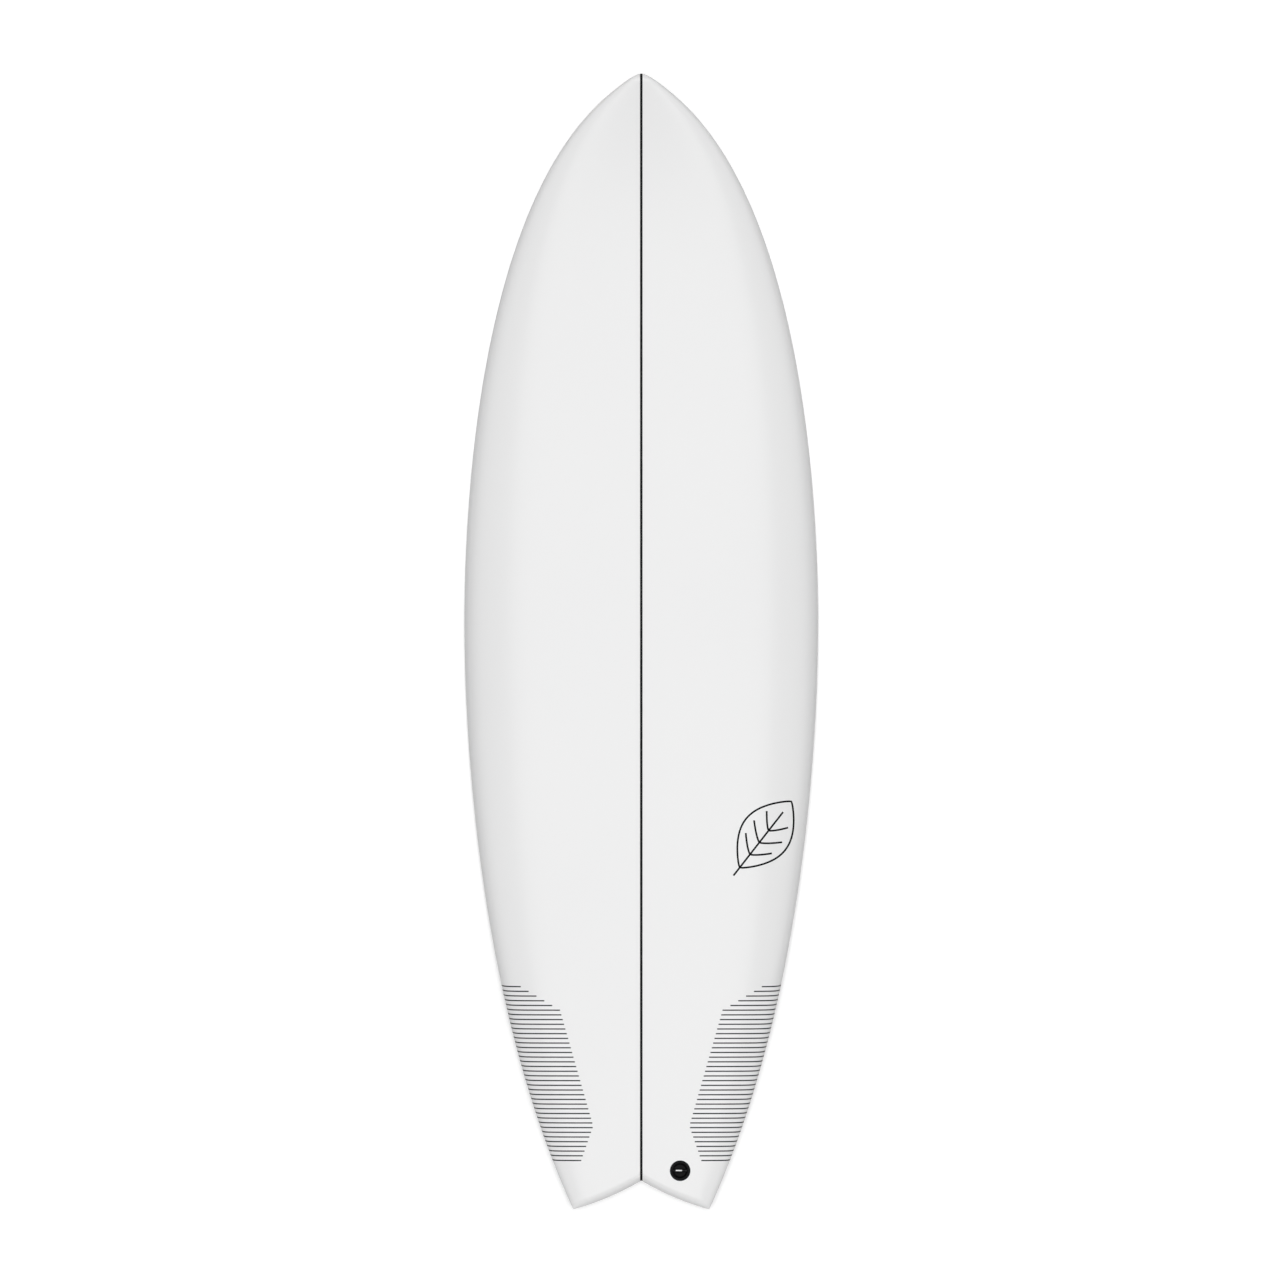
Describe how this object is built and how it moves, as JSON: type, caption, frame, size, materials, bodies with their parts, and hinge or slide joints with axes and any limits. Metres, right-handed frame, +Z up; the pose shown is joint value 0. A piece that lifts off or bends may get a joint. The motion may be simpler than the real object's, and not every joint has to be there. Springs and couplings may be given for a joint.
{
  "type": "shortboard surfboard",
  "caption": "White shortboard surfboard with a swallow tail, black stringer line, hatched tail rails, leash plug and removable fins.",
  "frame": {"origin": "on the floor under the middle of the box of the board as it lies on its belly and front fin tips", "axes": "+Y towards the nose, +Z up from the deck, +X towards the right rail seen from above with the nose ahead; the stringer is pitched 6.65 degrees nose down"},
  "size_m": [0.523, 1.6725, 0.1813],
  "materials": {
    "deck_gloss_white": "satin",
    "bottom_gloss_white": "gloss",
    "foam_white": "matte",
    "dense_foam": "matte",
    "stringer_wood": "matte",
    "black_nylon": "satin",
    "stainless_steel": "polished",
    "fin_composite": "satin"
  },
  "bodies": {
    "board": {"deck_skin": "deck_gloss_white", "bottom_skin": "bottom_gloss_white", "foam_core_left": "foam_white", "foam_core_right": "foam_white", "stringer": "stringer_wood", "leash_cup": "black_nylon", "leash_bar": "stainless_steel", "leash_block": "dense_foam", "fin_block_front_left": "dense_foam", "fin_plug_front_left_fore": "black_nylon", "fin_plug_front_left_aft": "black_nylon", "fin_block_front_right": "dense_foam", "fin_plug_front_right_fore": "black_nylon", "fin_plug_front_right_aft": "black_nylon", "fin_block_rear_left": "dense_foam", "fin_plug_rear_left_fore": "black_nylon", "fin_plug_rear_left_aft": "black_nylon", "fin_block_rear_right": "dense_foam", "fin_plug_rear_right_fore": "black_nylon", "fin_plug_rear_right_aft": "black_nylon"},
    "fin_front_left": {"fin_front_left": "fin_composite"},
    "grub_screw_front_left_fore": {"grub_screw_front_left_fore": "stainless_steel"},
    "grub_screw_front_left_aft": {"grub_screw_front_left_aft": "stainless_steel"},
    "fin_front_right": {"fin_front_right": "fin_composite"},
    "grub_screw_front_right_fore": {"grub_screw_front_right_fore": "stainless_steel"},
    "grub_screw_front_right_aft": {"grub_screw_front_right_aft": "stainless_steel"},
    "fin_rear_left": {"fin_rear_left": "fin_composite"},
    "grub_screw_rear_left_fore": {"grub_screw_rear_left_fore": "stainless_steel"},
    "grub_screw_rear_left_aft": {"grub_screw_rear_left_aft": "stainless_steel"},
    "fin_rear_right": {"fin_rear_right": "fin_composite"},
    "grub_screw_rear_right_fore": {"grub_screw_rear_right_fore": "stainless_steel"},
    "grub_screw_rear_right_aft": {"grub_screw_rear_right_aft": "stainless_steel"}
  },
  "joints": [
    {"name": "fin_front_left_slide", "type": "slide", "parent": "board", "child": "fin_front_left", "axis": [-0.1513, -0.1811, -0.9718], "range_m": [0, 0.016]},
    {"name": "grub_screw_front_left_fore_turn", "type": "hinge", "parent": "board", "child": "grub_screw_front_left_fore", "pos_m": [-0.15214, -0.4773, 0.10214], "axis": [0.1955, -0.1974, -0.9606], "range_deg": [0, 1080]},
    {"name": "grub_screw_front_left_aft_turn", "type": "hinge", "parent": "board", "child": "grub_screw_front_left_aft", "pos_m": [-0.15517, -0.53416, 0.1132], "axis": [0.1955, -0.1974, -0.9606], "range_deg": [0, 1080]},
    {"name": "fin_front_right_slide", "type": "slide", "parent": "board", "child": "fin_front_right", "axis": [0.1513, -0.1811, -0.9718], "range_m": [0, 0.016]},
    {"name": "grub_screw_front_right_fore_turn", "type": "hinge", "parent": "board", "child": "grub_screw_front_right_fore", "pos_m": [0.15214, -0.4773, 0.10214], "axis": [-0.1955, -0.1974, -0.9606], "range_deg": [0, 1080]},
    {"name": "grub_screw_front_right_aft_turn", "type": "hinge", "parent": "board", "child": "grub_screw_front_right_aft", "pos_m": [0.15517, -0.53416, 0.1132], "axis": [-0.1955, -0.1974, -0.9606], "range_deg": [0, 1080]},
    {"name": "fin_rear_left_slide", "type": "slide", "parent": "board", "child": "fin_rear_left", "axis": [-0.083, -0.2005, -0.9762], "range_m": [0, 0.016]},
    {"name": "grub_screw_rear_left_fore_turn", "type": "hinge", "parent": "board", "child": "grub_screw_rear_left_fore", "pos_m": [-0.10114, -0.61988, 0.1292], "axis": [0.2626, -0.2059, -0.9427], "range_deg": [0, 1080]},
    {"name": "grub_screw_rear_left_aft_turn", "type": "hinge", "parent": "board", "child": "grub_screw_rear_left_aft", "pos_m": [-0.10317, -0.67662, 0.14103], "axis": [0.2626, -0.2059, -0.9427], "range_deg": [0, 1080]},
    {"name": "fin_rear_right_slide", "type": "slide", "parent": "board", "child": "fin_rear_right", "axis": [0.083, -0.2005, -0.9762], "range_m": [0, 0.016]},
    {"name": "grub_screw_rear_right_fore_turn", "type": "hinge", "parent": "board", "child": "grub_screw_rear_right_fore", "pos_m": [0.10114, -0.61988, 0.1292], "axis": [-0.2626, -0.2059, -0.9427], "range_deg": [0, 1080]},
    {"name": "grub_screw_rear_right_aft_turn", "type": "hinge", "parent": "board", "child": "grub_screw_rear_right_aft", "pos_m": [0.10317, -0.67662, 0.14103], "axis": [-0.2626, -0.2059, -0.9427], "range_deg": [0, 1080]}
  ]
}
